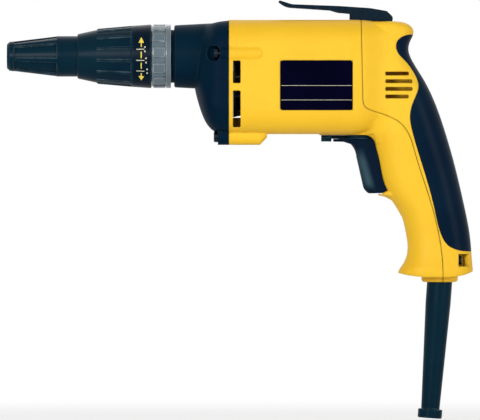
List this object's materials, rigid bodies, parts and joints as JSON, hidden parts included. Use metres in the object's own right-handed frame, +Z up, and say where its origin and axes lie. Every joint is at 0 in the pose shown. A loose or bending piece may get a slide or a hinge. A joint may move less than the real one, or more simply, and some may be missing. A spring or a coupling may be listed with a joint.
{
  "type": "drywall screwdriver",
  "caption": "Corded pistol-grip drywall screwdriver with a depth-setting nose, clutch spindle, motor, trigger, reverse lever, belt hook and cord protector.",
  "frame": {"origin": "centre of the nosepiece's mouth, on the spindle's axis", "axes": "+X back along the spindle's axis, +Z up, handle towards -Z, tool's left side towards -Y"},
  "size_m": [0.3027, 0.0676, 0.2718],
  "materials": {
    "yellow_shell": "smooth moulded yellow",
    "black_plastic": "satin moulded black",
    "black_casting": "black coated die casting",
    "grey_plastic": "satin moulded grey",
    "grip_rubber": "soft matte",
    "hook_steel": "black coated",
    "plate_film": "bare dark plate",
    "steel": "machined",
    "bronze": "sintered bronze",
    "copper": "enamelled copper",
    "laminations": "stacked sheet steel",
    "carbon": "pressed carbon",
    "inner_plastic": "moulded black"
  },
  "bodies": {
    "housing": {"spindle_bush": "bronze", "rear_bush": "bronze", "bearing_plate": "black_casting", "front_bearing": "steel", "rear_bearing": "steel", "fan_baffle": "inner_plastic", "field_stator": "laminations", "field_coils": "copper", "brush_holders": "bronze", "carbon_brushes": "carbon", "brush_springs": "steel", "gear_case": "black_casting", "motor_housing": "yellow_shell", "handle_cover": "yellow_shell", "grip_pad": "grip_rubber", "gear_case_screws": "steel", "handle_cover_screws": "steel", "cord_clamp_screws": "steel", "belt_hook_screws": "steel", "cord_clamp": "inner_plastic", "cord_protector": "grip_rubber", "name_plate": "plate_film", "belt_hook": "hook_steel", "switch_body": "inner_plastic"},
    "nose": {"nose_sleeve": "grey_plastic", "nose_snap_ring": "steel"},
    "collar": {"depth_collar": "black_plastic"},
    "nosepiece": {"locator": "black_plastic"},
    "trigger": {"trigger": "black_plastic"},
    "lever": {"reverse_lever": "black_plastic"},
    "armature": {"motor_shaft": "steel", "armature_core": "laminations", "armature_windings": "copper", "commutator": "copper", "cooling_fan": "inner_plastic"},
    "gear": {"drive_gear": "steel"},
    "carrier": {"thrust_washer": "steel"},
    "spindle": {"spindle": "steel", "bit_ring": "steel", "clutch_spring": "steel"}
  },
  "joints": [
    {"name": "nose_pull", "type": "slide", "parent": "housing", "child": "nose", "axis": [-1, 0, 0], "range_m": [0, 0.04]},
    {"name": "collar_turn", "type": "hinge", "parent": "nose", "child": "collar", "pos_m": [0.07, 0, 0], "axis": [-1, 0, 0], "range_deg": [-180, 360]},
    {"name": "nosepiece_travel", "type": "slide", "parent": "nose", "child": "nosepiece", "axis": [-1, 0, 0], "range_m": [-0.0025, 0.0049]},
    {"name": "trigger_pull", "type": "slide", "parent": "housing", "child": "trigger", "axis": [1, 0, 0], "range_m": [0, 0.006], "stiffness_N_per_m": 500, "springref_m": -0.006},
    {"name": "reverse_swing", "type": "hinge", "parent": "housing", "child": "lever", "pos_m": [0.2286, 0, -0.0528], "axis": [0, 0, 1], "range_deg": [-10, 10]},
    {"name": "motor_spin", "type": "hinge", "parent": "housing", "child": "armature", "pos_m": [0.185, 0, -0.0135], "axis": [1, 0, 0], "continuous": true},
    {"name": "gear_spin", "type": "hinge", "parent": "housing", "child": "gear", "pos_m": [0.128, 0, 0], "axis": [1, 0, 0], "continuous": true},
    {"name": "spindle_push", "type": "slide", "parent": "housing", "child": "carrier", "axis": [1, 0, 0], "range_m": [0, 0.003], "stiffness_N_per_m": 2500, "springref_m": -0.004, "deforming": ["clutch_spring"]},
    {"name": "spindle_spin", "type": "hinge", "parent": "carrier", "child": "spindle", "pos_m": [0.1, 0, 0], "axis": [1, 0, 0], "continuous": true}
  ],
  "couplings": [
    {"joint": "nosepiece_travel", "follows": "collar_turn", "m_per_rad": 0.00076394},
    {"joint": "gear_spin", "follows": "motor_spin", "ratio": -0.24138},
    {"joint": "spindle_spin", "follows": "motor_spin", "ratio": -0.24138}
  ]
}
